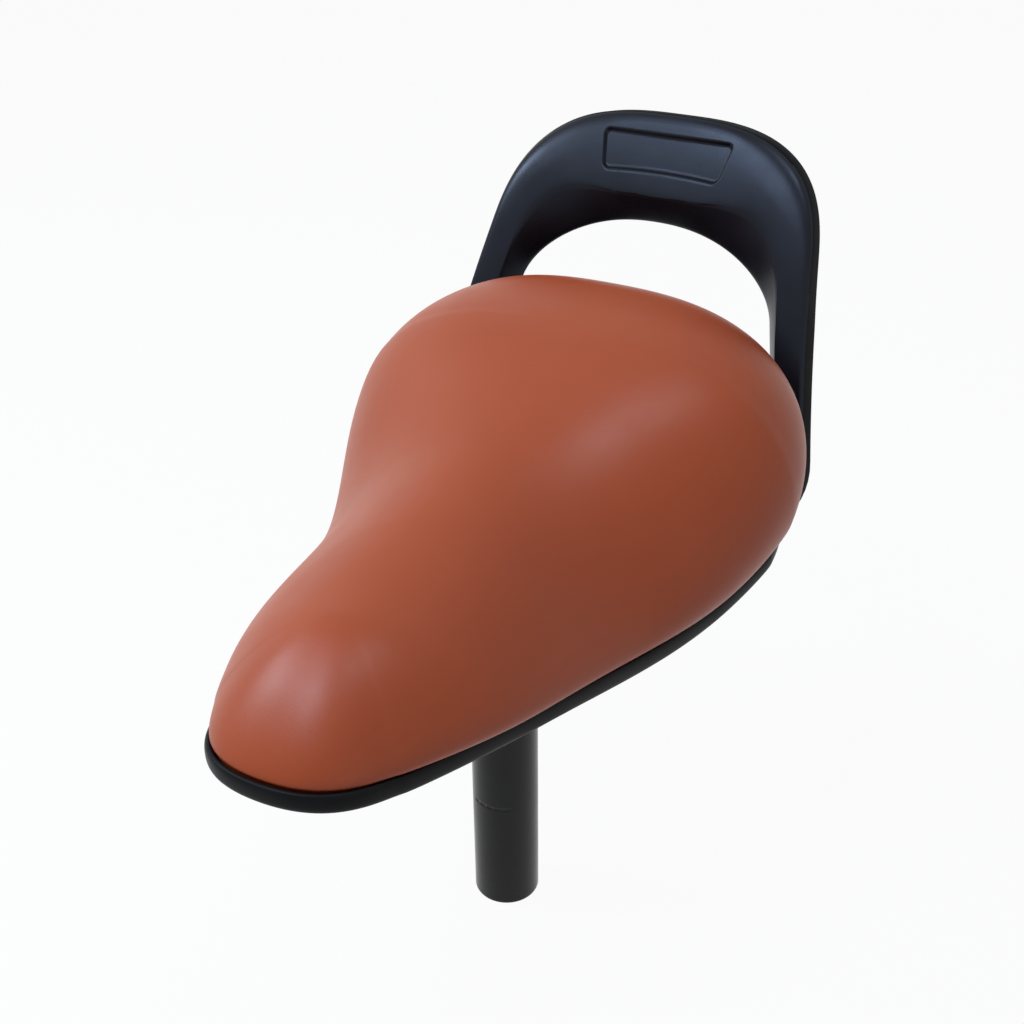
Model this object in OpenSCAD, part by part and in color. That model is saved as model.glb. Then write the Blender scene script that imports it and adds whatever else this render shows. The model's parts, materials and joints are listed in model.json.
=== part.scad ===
// Child's bicycle saddle with a rear grab handle and a short seat post.
// The origin is the centre of the seat post's lower end, +Z is up and the nose points to -Y.

/* [Outline from above] */
// From the post's axis forward to the tip of the nose
nose_reach = 145; // [136:1:156]
// From the post's axis back to the rear of the rim
rear_reach = 102; // [96:1:106]
// Full width over the rim at its widest
saddle_w = 163; // [155:1:171]
// How far behind the post's axis the rim is widest
widest_y = 54; // [46:1:58]
// Full width of the nose where its round end runs into the flank
nose_w = 65; // [60:1:72]
// Length of the nose's round end
nose_len = 25; // [22:1:29]
// Angle of the flank away from straight back, where it leaves the nose
flank_angle = 28; // [22:1:32]

/* [Heights] */
// Length of the seat post below its plate
post_len = 128; // [100:1:160]
// Mean level of the rim above the underside of the pan's floor
rim_rise = 20; // [18:0.5:25]
// Rim heights from nose to rear, about its mean level
rim_line = [8.5, -5.5, -14, 4.5];
// Heights of the cushion's ridge above the rim's mean level, from nose to rear
ridge_line = [39.5, 35.5, 40.5, 49, 66, 67.5];
// Shoulder fullness from nose to rear, where less is squarer
shoulder_line = [1.22, 1, 1.26, 0.6, 0.62];
// Flank fullness from nose to rear, where less is steeper
flank_line = [1.75, 1.74, 1.71, 1.15, 0.72];
// How far the flank swells past its foot, from nose to rear
swell_line = [5, 8.7, 6.5, 13.6, 10];

/* [Cushion] */
// Thickness of the leatherette skin
skin_t = 1; // [0.8:0.1:1.6]
// From the rim's outer edge in to the foot of the cushion
foot_inset = 3; // [2.8:0.1:4]
// Clearance round the soft pieces
soft_gap = 0.4; // [0.3:0.1:0.6]
// Thickness of the support board
board_t = 6; // [5:0.5:8]

/* [Base pan] */
// Thickness of the pan's floor
floor_t = 2.6; // [2:0.1:3.4]
// Depth of the ribs under the floor
rib_h = 6; // [5:0.5:9]
// Thickness of each rib
rib_t = 2; // [1.6:0.1:2.6]
// Distance from rib to rib
rib_pitch = 24; // [20:1:30]
// Height of the pads that carry the support board
pad_h = 1; // [0.6:0.1:1.6]

/* [Handle] */
// Height of the handle's top above the rim's mean level
handle_rise = 117; // [105:1:126]
// Height of the top of the hand gap above the rim's mean level
gap_rise = 78; // [70:1:84]
// Full width over the handle's legs at the rim's level
handle_w = 158; // [154:1:164]
// Full width of the hand gap at the rim's level
gap_w = 130; // [122:1:132]
// Depth of the handle's section from front to back
handle_d = 12.5; // [12:0.5:16]
// Wall thickness of the handle
handle_t = 3; // [2.4:0.1:3.6]
// Thickness of the screw flange under the pan
flange_t = 4; // [3:0.5:5]
// Depth of the sunk panel
panel_depth = 1.4; // [0.8:0.1:2]

/* [Post and fasteners] */
// Outer diameter of the seat post
post_d = 25.4; // [22.2:0.1:27.2]
// Wall of the seat post
post_wall = 1.8; // [1.2:0.1:2.6]
// Thickness of the mounting plate
plate_t = 3; // [2.5:0.5:4]
// Width of the mounting plate
plate_w = 58; // [52:1:60]
// Length of the mounting plate
plate_l = 72; // [64:1:74]
// Spacing of the plate bolts across the saddle
bolt_x = 36; // [34:1:40]
// Spacing of the plate bolts along the saddle
bolt_y = 48; // [44:1:52]
// Diameter of the plate bolts
bolt_d = 6; // [5:0.5:6]
// Diameter of the self-tapping screws
screw_d = 4.2; // [3.5:0.1:4.8]
// Radial clearance of bolts and screws in their holes
hole_gap = 0.3; // [0.2:0.05:0.5]

/* [Hidden] */
$fn = 48;

// Levels, from the post's lower end up
plate_z = post_len;
rib_z = plate_z + plate_t;
floor_z = rib_z + rib_h;
rim_z = floor_z + rim_rise;
board_z = floor_z + floor_t + pad_h;
flange_z = rib_z - flange_t;
saddle_len = nose_reach + rear_reach;

// The floor lies level over the middle and climbs towards the nose
nose_climb = 18;
climb_start = -52;
// Depths of the pan's dish at its wall, measured in from the rim's outer edge
lip_w = foot_inset - soft_gap;
wall_inset = 9;
floor_inset = 15;
// The ribs end in slants, from the wall in to here
rib_inset = 17;
rib_slant = 8;
board_inset = 20;
// Spine of the cushion, in from the nose's tip and from the rear
spine_nose = 48;
spine_rear = 20;

// A point on a cubic curve with four control points, at share t of its run
function cubic(p, t) = pow(1 - t, 3) * p[0] + 3 * pow(1 - t, 2) * t * p[1]
    + 3 * (1 - t) * t * t * p[2] + pow(t, 3) * p[3];

// A smooth line through equally spaced values, read at share s
function through(v, s) =
    let (n = len(v) - 1, x = min(max(s, 0), 1) * n, i = min(floor(x), n - 1), t = x - i)
    let (b = v[i], c = v[i + 1])
    let (a = i > 0 ? v[i - 1] : 2 * b - c, d = i < n - 1 ? v[i + 2] : 2 * c - b)
    0.5 * (2 * b + (c - a) * t + (2 * a - 5 * b + 4 * c - d) * t * t
        + (3 * b - a - 3 * c + d) * pow(t, 3));

// Rises smoothly from 0 to 1
function ease(t) = let (u = min(max(t, 0), 1)) u * u * (3 - 2 * u);

// The rim from above: a round nose, a waisted flank and a broad round rear
nose_end = [nose_w / 2, -nose_reach + nose_len];
flank_way = [sin(flank_angle), cos(flank_angle)];
widest = [saddle_w / 2, widest_y];
nose_curve = [[0, -nose_reach], [nose_w * 0.39, -nose_reach], nose_end - 8 * flank_way, nose_end];
flank_curve = [nose_end, nose_end + 12 * flank_way, widest - [0, 8], widest];
rear_curve = [widest, widest + [0, 40], [saddle_w * 0.33, rear_reach], [0, rear_reach]];
half_rim = concat([for (i = [0:9]) cubic(nose_curve, i / 10)],
    [for (i = [0:13]) cubic(flank_curve, i / 14)],
    [for (i = [0:12]) cubic(rear_curve, i / 12)]);
half_n = len(half_rim) - 1;
rim_n = 2 * half_n;
rim = concat(half_rim, [for (i = [half_n - 1:-1:1]) [-half_rim[i][0], half_rim[i][1]]]);
// The way straight out from the rim at each of its points
out = [for (i = [0:rim_n - 1])
    let (t = rim[(i + 1) % rim_n] - rim[(i + rim_n - 1) % rim_n])
    [t[1], -t[0]] / norm(t)];

function share(y) = min(max((y + nose_reach) / saddle_len, 0), 1);
function rim_height(y) = rim_z + through(rim_line, share(y));
function floor_height(y) = floor_z + nose_climb * ease((climb_start - y) / (nose_reach + climb_start));

// A ring set in from the rim. Its height runs from the rim's at q = 0 to the floor's at q = 1.
function ring(inset, q, lift) = [for (i = [0:rim_n - 1])
    let (p = rim[i] - inset * out[i])
    [p[0], p[1], (1 - q) * rim_height(p[1]) + q * floor_height(p[1]) + lift]];

// The hem rises straight out of the dish, and at hem_rise above the rim the flank swells out over it
hem_rise = 2.4;
hem_low = -0.5;
function hem_ring(depth, up) = ring(foot_inset + depth, 0, up);

// A ring on the cushion's face, from its hem at v = 0 to its ridge at v = 1. The swell is fullest low
// on the flank.
swell_low = 0.67;
function face_ring(v) = [for (i = [0:rim_n - 1])
    let (foot = rim[i] - foot_inset * out[i], s = share(foot[1]))
    let (spine = [0, min(max(foot[1], spine_nose - nose_reach), rear_reach - spine_rear)])
    let (rise = pow(sin(90 * v), through(flank_line, s)), draw = pow(cos(90 * v), through(shoulder_line, s)))
    let (swell = through(swell_line, s) * sin(180 * pow(v, swell_low)))
    let (p = spine + draw * (foot - spine) + swell * out[i], ridge = through(ridge_line, share(spine[1])))
    [p[0], p[1], rim_z + hem_rise + through(rim_line, s) * (1 - rise) + ridge * rise]];

// The same ring at a depth under the face, square to it
function cushion_ring(v, depth) =
    depth == 0 ? face_ring(v)
    : v == 0 ? hem_ring(depth, hem_rise + depth)
    : let (here = face_ring(v), above = face_ring(v + 0.01), below = face_ring(v - 0.01))
      [for (i = [0:rim_n - 1])
          let (along = here[(i + 1) % rim_n] - here[(i + rim_n - 1) % rim_n])
          let (n = cross(along, above[i] - below[i]))
          here[i] - depth * n / norm(n)];

// A closed solid through a stack of rings, lowest end first, with strips across its two ends
module loft(rings) {
    n = len(rings[0]);
    h = n / 2;
    m = len(rings);
    last = (m - 1) * n;
    sides = [for (k = [0:m - 2]) each [for (i = [0:n - 1])
        let (a = k * n + i, b = k * n + (i + 1) % n)
        each [[a, b + n, b], [a, a + n, b + n]]]];
    tip = [[0, 1, n - 1], [h - 1, h, h + 1]];
    strips = [for (i = [1:h - 2]) each [[i, i + 1, n - i - 1], [i, n - i - 1, n - i]]];
    low_end = concat(tip, strips);
    high_end = [for (f = low_end) [last + f[0], last + f[2], last + f[1]]];
    polyhedron(points = [for (r = rings) each r], faces = concat(sides, low_end, high_end));
}

cushion_steps = [0, 0.03, 0.08, 0.16, 0.26, 0.36, 0.47, 0.58, 0.69, 0.79, 0.88, 0.955];

// Insets, shares and lifts of the dish's inner face, from the lip down to the floor
dish = [[lip_w, 0, -1.5], [wall_inset - 2, 0.35, 0], [wall_inset + 2, 0.8, floor_t * 0.8],
    [floor_inset, 1, floor_t]];
function dish_ring(k, gap) = ring(dish[k][0] + gap, dish[k][1], dish[k][2] + (k > 0 ? gap : 0));

// Leatherette skin: one drawn shell whose hem turns in under the pad
module cover() {
    inner_gap = soft_gap + skin_t;
    color("peru")
    loft(concat(
        [for (k = [11:-1:0]) cushion_ring(cushion_steps[k], skin_t)],
        [hem_ring(skin_t, hem_low)],
        [for (k = [1:2]) dish_ring(k, inner_gap)],
        [for (k = [2:-1:1]) dish_ring(k, soft_gap)],
        [hem_ring(0, hem_low)],
        [for (k = [0:11]) cushion_ring(cushion_steps[k], 0)]));
}

// Moulded foam, with the support board set into its underside
module foam_pad() {
    depth = skin_t + soft_gap;
    // The foam stays a little further in along the hem's fold
    fold_depth = depth + 0.5;
    color("lightyellow")
    difference() {
        loft(concat(
            [for (k = [3:-1:1]) dish_ring(k, fold_depth + soft_gap)],
            [hem_ring(fold_depth, hem_low)],
            [for (k = [0:2]) cushion_ring(cushion_steps[k], fold_depth)],
            [for (k = [3:2:11]) cushion_ring(cushion_steps[k], depth)]));
        translate([0, 0, board_z - pad_h - 1])
            linear_extrude(board_t + pad_h + 1 + soft_gap)
                offset(delta = soft_gap)
                    board_shape();
        at_bolts(board_z + board_t)
            cylinder(d = tee_d + 2, h = 8, $fn = 24);
    }
}

module rim_shape() {
    polygon(rim);
}

// The board follows the rim and stops where the floor starts to climb
module board_shape() {
    offset(r = 4)
        offset(delta = -4)
            intersection() {
                offset(delta = -board_inset)
                    rim_shape();
                translate([-saddle_w / 2, climb_start - 6])
                    square([saddle_w, saddle_len]);
            }
}

module support_board() {
    color("burlywood")
    difference() {
        translate([0, 0, board_z])
            linear_extrude(board_t)
                board_shape();
        at_bolts(board_z - 1)
            cylinder(d = tee_barrel_d + 2 * 0.1, h = board_t + 2);
        at_bolts(board_z + board_t - prong_h - 0.1)
            prongs(0.1);
        at_pan_screws(board_z - 1)
            cylinder(d = screw_d + 2 * 0.1, h = board_t + 2);
    }
}

plate_corner = 10;
// Half the rim's width at each y, and the pan's screws set in from the board's edge there
rim_widths = [for (p = half_rim) [p[1], p[0]]];
screw_margin = 9;
screw_seats = [for (y = [climb_start + screw_margin, (climb_start + screw_margin + widest_y) / 2, widest_y])
    [lookup(y, rim_widths) - board_inset - screw_margin, y]];
boss_d = 13;
// The handle's flange fits between the rear pair of bosses
flange_w = saddle_w - 2 * (board_inset + screw_margin) - boss_d;
flange_front = plate_l / 2 + 5;
flange_inset = 17;
flange_back = rear_reach - flange_inset;
flange_seats = [for (y = [flange_front + 10, flange_back - 10]) [flange_w / 2 - 12, y]];

module at_bolts(z) {
    for (x = [-1, 1])
        for (y = [-1, 1])
            translate([x * bolt_x / 2, y * bolt_y / 2, z])
                children();
}

module at_pan_screws(z) {
    for (seat = screw_seats)
        for (x = [-1, 1])
            translate([x * seat[0], seat[1], z])
                children();
}

module at_handle_screws(z) {
    for (seat = flange_seats)
        for (x = [-1, 1])
            translate([x * seat[0], seat[1], z])
                children();
}

module plate_shape(margin) {
    offset(r = plate_corner)
        square([plate_w + 2 * margin - 2 * plate_corner, plate_l + 2 * margin - 2 * plate_corner], center = true);
}

// Ribs on a square grid, with solid pads where the plate and the handle's flange bear
module rib_pattern() {
    across = floor(saddle_w / 2 / rib_pitch);
    for (i = [-across:across])
        translate([i * rib_pitch - rib_t / 2, -nose_reach])
            square([rib_t, saddle_len]);
    for (i = [-floor(nose_reach / rib_pitch):floor(rear_reach / rib_pitch)])
        translate([-saddle_w / 2, i * rib_pitch - rib_t / 2])
            square([saddle_w, rib_t]);
    plate_shape(2);
    for (seat = flange_seats)
        for (x = [-1, 1])
            translate([x * seat[0], seat[1]])
                circle(d = boss_d);
}

// Base pan: a thin dish with a rolled rim, ribbed below
module base_pan() {
    color([0.08, 0.08, 0.09])
    difference() {
        union() {
            loft([
                ring(floor_inset, 1, 0),
                ring(wall_inset, 0.55, -1.6),
                ring(3, 0, -4.4),
                ring(0.9, 0, -3),
                ring(0, 0, -1),
                ring(0, 0, 0.8),
                ring(0.7, 0, 2),
                ring(lip_w - 0.9, 0, 2.2),
                ring(lip_w, 0, 1.4),
                dish_ring(0, 0),
                dish_ring(1, 0),
                dish_ring(2, 0),
                dish_ring(3, 0)]);
            intersection() {
                translate([0, 0, rib_z])
                    linear_extrude(rib_h + nose_climb + floor_t)
                        rib_pattern();
                loft([ring(rib_inset + rib_slant, 1, -rib_h), ring(rib_inset, 1, 0.6)]);
            }
            at_pan_screws(rib_z)
                cylinder(d = boss_d, h = board_z - rib_z);
            at_bolts(floor_z + 1)
                cylinder(d = tee_d, h = board_z - floor_z - 1);
        }
        at_bolts(rib_z - 1)
            cylinder(d = bolt_d + 2 * hole_gap, h = board_z - rib_z + 2);
        at_pan_screws(rib_z - 1)
            cylinder(d = screw_d + 2 * hole_gap, h = board_z - rib_z + 2);
        at_handle_screws(rib_z - 1)
            cylinder(d = screw_d + 2 * 0.1, h = rib_h + 1);
    }
}

// Heights above the rim's mean level where the handle's arches leave their straight legs
outer_shoulder = 73;
inner_shoulder = 51;
// The legs' feet tuck in under the pan, from foot_top above the rim's mean level down
foot_tuck = 20;
foot_top = 4;

// Half width and height of an arch: legs that taper up to a shoulder, then a squared round top
function arch(w, taper, shoulder, top, round_x, round_z, legs, u) =
    u < legs
    ? let (z = flange_z + (shoulder - flange_z) * u / legs)
      [w - taper * (z - rim_z) - foot_tuck * pow(max(rim_z + foot_top - z, 0) / (rim_z + foot_top - flange_z), 2), z]
    : let (a = 90 * (u - legs) / (1 - legs))
      let (z = shoulder + (top - shoulder) * pow(sin(a), 2 / round_z))
      [(w - taper * (z - rim_z)) * pow(max(cos(a), 0), 2 / round_x), z];

function outer_arch(u) = arch(handle_w / 2, 0.17, rim_z + outer_shoulder, rim_z + handle_rise, 2.9, 3.1, 0.4, u);
function inner_arch(u) = arch(gap_w / 2, 0.24, rim_z + inner_shoulder, rim_z + gap_rise, 2.2, 2, 0.32, u);

// How far back the handle's front face lies at a height, bowing back towards the top
lean_y = rear_reach - 10;
lean_slope = 0.23;
lean_bow = 0.002;
function front_y(z) = lean_y + lean_slope * (z - rim_z) + lean_bow * pow(z - rim_z, 2);

// The handle's section between the two arches at share u, as pairs of distance in and depth. The
// outer wall slants down towards its back edge over the top.
top_draft = 0.2;
function section(u, side, loop) =
    let (p = outer_arch(u), q = inner_arch(u), w = norm(q - p), e = (q - p) / w)
    [for (s = loop(w))
        let (c = p + s[0] * e + [0, top_draft * s[1] * max(1 - s[0] / w, 0) * e[1]])
        [side * c[0], front_y(c[1]) + s[1], c[1]]];

// Open channel: crowned front, small outer edge, broad roll into the hand gap, hollow back
shell_loop = function(w)
    let (k = min(1, w / 32), t = handle_t, d = handle_d)
    [[0, 2], [0.5, 0.7], [1.8, 0], [0.25 * w, -0.8], [0.5 * w, -0.7], [w - 12 * k, 0.4],
     [w - 8 * k, 1.8], [w - 4.6 * k, 4], [w - 1.8 * k, 7], [w - 0.4 * k, 10], [w, d],
     [w - t, d], [w - t - 0.6 * k, d - 3], [w - 7.5 * k, 6.5], [0.6 * w, t + 0.4], [0.35 * w, t - 0.6],
     [t + 1.2, t + 0.2], [t, t + 1.4], [t, d], [0, d]];

// What a rib fills: the inside of the channel, biting a little into its walls
rib_loop = function(w)
    let (k = min(1, w / 32), t = handle_t, d = handle_d)
    [[t - 1, t], [0.35 * w, t - 1.6], [0.6 * w, t - 0.8], [w - 7 * k, 5.4], [w - t, d - 4],
     [w - t + 1, d - 1.5], [t - 1, d - 1.5]];

arch_shares = concat([for (i = [0:6]) 0.055 * i], [for (i = [1:20]) 0.33 + 0.67 * i / 20]);

// A closed solid through a row of sections, each end closed by the triangles in cap
module tube_loft(loops, cap) {
    n = len(loops[0]);
    m = len(loops);
    sides = [for (k = [0:m - 2]) each [for (i = [0:n - 1])
        let (a = k * n + i, b = k * n + (i + 1) % n)
        each [[a, b, b + n], [a, b + n, a + n]]]];
    low_end = [for (f = cap) [f[2], f[1], f[0]]];
    high_end = [for (f = cap) [for (i = f) (m - 1) * n + i]];
    polyhedron(points = [for (r = loops) each r], faces = concat(sides, low_end, high_end));
}

// Triangles across the open channel's section, from its inner lip round to its outer wall
shell_cap = [[9, 10, 11], [8, 9, 11], [8, 11, 12], [7, 8, 12], [7, 12, 13], [6, 7, 13], [5, 6, 13],
    [5, 13, 14], [4, 5, 14], [4, 14, 15], [3, 4, 15], [3, 15, 16], [2, 3, 16], [2, 16, 17], [1, 2, 17],
    [0, 1, 17], [0, 17, 18], [0, 18, 19]];
rib_cap = [for (i = [1:5]) [0, i, i + 1]];

module handle_shell() {
    last = len(arch_shares) - 1;
    tube_loft(concat(
        [for (i = [0:last]) section(arch_shares[i], 1, shell_loop)],
        [for (i = [last - 1:-1:0]) section(arch_shares[i], -1, shell_loop)]), shell_cap);
}

// A thin cross rib in the channel at share u
module handle_rib(u, side) {
    way = outer_arch(u + 0.01) - outer_arch(u - 0.01);
    step = way / norm(way) * rib_t / 2;
    move = [step[0], 0, side * step[1]];
    face = section(u, side, rib_loop);
    tube_loft([[for (p = face) p - move], [for (p = face) p + move]], rib_cap);
}

// Flange under the pan that the handle is screwed on by, with a web out to each leg
module flange_shape() {
    leg_in = inner_arch(0)[0];
    leg_out = outer_arch(0)[0];
    leg_y = front_y(flange_z);
    web_start = 22;
    web_mid = [10, 16];
    web_back = [24, 4];
    offset(r = 4)
        offset(delta = -4)
            union() {
                translate([-flange_w / 2, flange_front])
                    square([flange_w, flange_back - flange_front]);
                for (x = [-1, 1])
                    polygon([[x * web_mid[0], flange_back - web_mid[1]],
                        [x * flange_w / 2, flange_back - web_start],
                        [x * leg_out, leg_y], [x * leg_out, leg_y + handle_d],
                        [x * leg_in, leg_y + handle_d], [x * web_back[0], flange_back + web_back[1]]]);
            }
}

module sunk_panel() {
    // Middle of the panel on the front face
    panel_drop = 13;
    panel_z = rim_z + handle_rise - panel_drop;
    slope = atan(lean_slope + 2 * lean_bow * (panel_z - rim_z));
    top_w = 53;
    low_w = 47;
    tall = 15.5;
    translate([0, front_y(panel_z) - 0.7, panel_z])
        rotate([90 - slope, 0, 0])
            translate([0, 0, -panel_depth])
                linear_extrude(8)
                    offset(r = 2.5)
                        offset(delta = -2.5)
                            polygon([[-top_w / 2, tall / 2], [top_w / 2, tall / 2], [low_w / 2, -tall / 2],
                                [0, -tall / 2 + 1.2], [-low_w / 2, -tall / 2]]);
}

module rear_handle() {
    color([0.09, 0.09, 0.1])
    difference() {
        union() {
            handle_shell();
            for (side = [-1, 1])
                for (u = [0.07, 0.17, 0.27, 0.37, 0.48, 0.6, 0.72, 0.84])
                    handle_rib(u, side);
            handle_rib(0.99, 1);
            translate([0, 0, flange_z])
                linear_extrude(flange_t)
                    flange_shape();
        }
        sunk_panel();
        at_handle_screws(flange_z - 1)
            cylinder(d = screw_d + 2 * hole_gap, h = flange_t + 2);
    }
}

module mounting_plate() {
    color([0.12, 0.12, 0.13])
    difference() {
        translate([0, 0, plate_z])
            linear_extrude(plate_t)
                plate_shape(0);
        at_bolts(plate_z - 1)
            cylinder(d = bolt_d + 2 * hole_gap, h = plate_t + 2);
    }
}

// Tube with a weld bead round its top, under the plate
module seat_post() {
    weld = 4;
    r = post_d / 2;
    color([0.05, 0.05, 0.06])
    rotate_extrude($fn = 96)
        polygon([[r - post_wall, 0], [r, 0], [r, post_len - weld],
            [r + 0.45 * weld, post_len - 0.55 * weld], [r + weld, post_len], [r - post_wall, post_len]]);
}

washer_t = 1.6;
spring_t = 1.6;
head_t = 4;
tee_flange_t = 1.2;
tee_d = 18;
tee_barrel_d = 7.8;
prong_h = 4;
bolt_under = plate_z - washer_t - spring_t;

module hexagon(flats, h) {
    cylinder(d = flats / cos(30), h = h, $fn = 6);
}

module plate_bolts() {
    tip = board_z + board_t + tee_flange_t + 1;
    color("silver")
    at_bolts(bolt_under)
        union() {
            cylinder(d = bolt_d, h = tip - bolt_under);
            translate([0, 0, -head_t])
                hexagon(10, head_t);
        }
}

// Split ring, its cut closed flat when tightened
module spring_washers() {
    color("gainsboro")
    at_bolts(bolt_under)
        difference() {
            cylinder(d = 10.4, h = spring_t);
            translate([0, 0, -1])
                cylinder(d = bolt_d + 2 * hole_gap, h = spring_t + 2);
            rotate([0, 0, 20])
                translate([0, -0.4, -1])
                    cube([10, 0.8, spring_t + 2]);
        }
}

module flat_washers() {
    color("silver")
    at_bolts(plate_z - washer_t)
        difference() {
            cylinder(d = 12, h = washer_t);
            translate([0, 0, -1])
                cylinder(d = bolt_d + 2 * hole_gap, h = washer_t + 2);
        }
}

// Three small spikes under a tee nut's flange
module prongs(gap) {
    for (a = [0, 120, 240])
        rotate([0, 0, a])
            translate([tee_d / 2 - 2.6 - gap, -1 - gap, 0])
                cube([1.2 + 2 * gap, 2 + 2 * gap, prong_h + 0.2]);
}

module tee_nuts() {
    color("silver")
    at_bolts(board_z + board_t)
        difference() {
            union() {
                cylinder(d = tee_d, h = tee_flange_t);
                translate([0, 0, -board_t + 1])
                    cylinder(d = tee_barrel_d, h = board_t);
                translate([0, 0, -prong_h])
                    prongs(0);
            }
            translate([0, 0, -board_t])
                cylinder(d = bolt_d + 2 * 0.05, h = board_t + tee_flange_t + 1);
        }
}

// Domed cross-recess screw standing on its head's seat
module screw(length) {
    head_d = 1.9 * screw_d;
    cylinder(d = screw_d, h = length - 2);
    translate([0, 0, length - 2])
        cylinder(d1 = screw_d, d2 = 0.8, h = 2);
    difference() {
        rotate_extrude()
            polygon([[0, 0], [head_d / 2, 0], [head_d / 2, -0.8], [head_d / 2 - 0.7, -1.9],
                [head_d / 2 - 2, -2.5], [0, -2.6]]);
        for (a = [0, 90])
            rotate([0, 0, a])
                translate([-0.45, -1.9, -3])
                    cube([0.9, 3.8, 1.8]);
    }
}

module pan_screws() {
    color("dimgray")
    at_pan_screws(rib_z)
        screw(board_z + board_t - 1 - rib_z);
}

handle_washer_t = 1;

module handle_screws() {
    color("dimgray")
    at_handle_screws(flange_z - handle_washer_t)
        screw(handle_washer_t + flange_t + rib_h - 1);
}

module handle_washers() {
    color("silver")
    at_handle_screws(flange_z - handle_washer_t)
        difference() {
            cylinder(d = 11, h = handle_washer_t);
            translate([0, 0, -1])
                cylinder(d = screw_d + 2 * hole_gap, h = handle_washer_t + 2);
        }
}

cover();
foam_pad();
support_board();
base_pan();
rear_handle();
mounting_plate();
seat_post();
plate_bolts();
spring_washers();
flat_washers();
tee_nuts();
pan_screws();
handle_screws();
handle_washers();
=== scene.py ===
import json
from math import atan, cos, pi, radians, sin, sqrt

import bmesh
import bpy
import numpy as np
from mathutils import Matrix, Vector


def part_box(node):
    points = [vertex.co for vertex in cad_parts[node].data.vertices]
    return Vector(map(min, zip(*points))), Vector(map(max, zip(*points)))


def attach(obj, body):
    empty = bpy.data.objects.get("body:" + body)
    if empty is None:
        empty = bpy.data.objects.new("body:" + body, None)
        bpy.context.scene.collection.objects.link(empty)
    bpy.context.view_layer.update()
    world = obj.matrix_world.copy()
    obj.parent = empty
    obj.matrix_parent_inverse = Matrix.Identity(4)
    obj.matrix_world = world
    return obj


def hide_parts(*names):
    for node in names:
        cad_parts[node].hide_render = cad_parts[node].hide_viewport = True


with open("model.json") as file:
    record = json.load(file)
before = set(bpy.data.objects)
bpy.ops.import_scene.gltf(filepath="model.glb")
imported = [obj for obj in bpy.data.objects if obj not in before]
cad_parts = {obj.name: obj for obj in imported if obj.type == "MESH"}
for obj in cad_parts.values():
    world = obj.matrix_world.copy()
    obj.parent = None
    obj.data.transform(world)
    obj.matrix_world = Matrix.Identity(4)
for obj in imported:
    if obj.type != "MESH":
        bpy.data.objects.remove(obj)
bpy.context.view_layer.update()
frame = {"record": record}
mm = 0.001


# Seat post
# A drawn steel tube, cut flat below and welded to its plate above. Short insertion marks are pressed
# into its front. It is powder coated in gloss black, with the slight orange peel that such a coat has.

post_r = frame["record"]["mounts"][0]["dims"]["r_mm"] * mm
post_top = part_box("seat_post")[1].z
post_wall = 1.8 * mm
post_edge = 0.35 * mm
post_turns = 144
weld = 4 * mm
weld_ripples = 26
weld_ripple_h = 0.22 * mm
mark_level = 49.5 * mm
mark_angles = (-30, -15, 0, 15, 30)
mark_w = 2.4 * mm
mark_h = 1.3 * mm
mark_depth = 0.25 * mm
mark_clear = 3 * mm


def new_piece(name, verts, faces, sharp=35):
    """A mesh object, smooth but for edges sharper than an angle in degrees."""
    mesh = bpy.data.meshes.new(name)
    mesh.from_pydata([tuple(v) for v in verts], [], faces)
    mesh.validate()
    tidy = bmesh.new()
    tidy.from_mesh(mesh)
    bmesh.ops.remove_doubles(tidy, verts=tidy.verts, dist=0.00001)
    bmesh.ops.recalc_face_normals(tidy, faces=tidy.faces)
    tidy.to_mesh(mesh)
    tidy.free()
    mesh.shade_smooth()
    mesh.set_sharp_from_angle(angle=radians(sharp))
    piece = bpy.data.objects.new(name, mesh)
    bpy.context.scene.collection.objects.link(piece)
    return piece


def loft(rings, closed=True):
    """Vertices and faces through a stack of equal rings. Where closed, the last ring meets the first."""
    count = len(rings)
    n = len(rings[0])
    verts = np.concatenate([np.asarray(r, float) for r in rings])
    faces = []
    for k in range(count if closed else count - 1):
        for i in range(n):
            j = (i + 1) % n
            low = k * n
            high = (k + 1) % count * n
            faces.append((low + i, low + j, high + j, high + i))
    return verts, faces


def group(name, inputs, outputs):
    """An empty shader node group with named float inputs and named outputs."""
    tree = bpy.data.node_groups.new(name, "ShaderNodeTree")
    for label, value in inputs.items():
        socket = tree.interface.new_socket(label, in_out="INPUT", socket_type="NodeSocketFloat")
        socket.default_value = value
    for label, kind in outputs.items():
        tree.interface.new_socket(label, in_out="OUTPUT", socket_type=kind)
    return tree, tree.nodes.new("NodeGroupInput"), tree.nodes.new("NodeGroupOutput")


def node(tree, kind, **settings):
    """A node whose settings and inputs are given by name, an input as a value or as a socket to link."""
    made = tree.nodes.new(kind)
    for label, value in settings.items():
        if isinstance(value, bpy.types.NodeSocket):
            tree.links.new(value, made.inputs[label])
        elif label in made.inputs:
            made.inputs[label].default_value = value
        else:
            setattr(made, label, value)
    return made


def in_place(tree, kind, **settings):
    """A node that takes the object's own coordinates."""
    return node(tree, kind, Vector=node(tree, "ShaderNodeTexCoord").outputs["Object"], **settings)


def place_noise(tree, scale, detail, roughness=0.5):
    """Noise over the object's own coordinates, its scale a number or a socket."""
    noise = in_place(tree, "ShaderNodeTexNoise", Scale=scale, Detail=detail, Roughness=roughness)
    return noise.outputs["Fac"]


def ramp(tree, source, low, high, to_low, to_high):
    """A value mapped from one range to another, held at its ends."""
    ends = {"From Min": low, "From Max": high, "To Min": to_low, "To Max": to_high}
    return node(tree, "ShaderNodeMapRange", Value=source, **ends).outputs["Result"]


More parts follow.
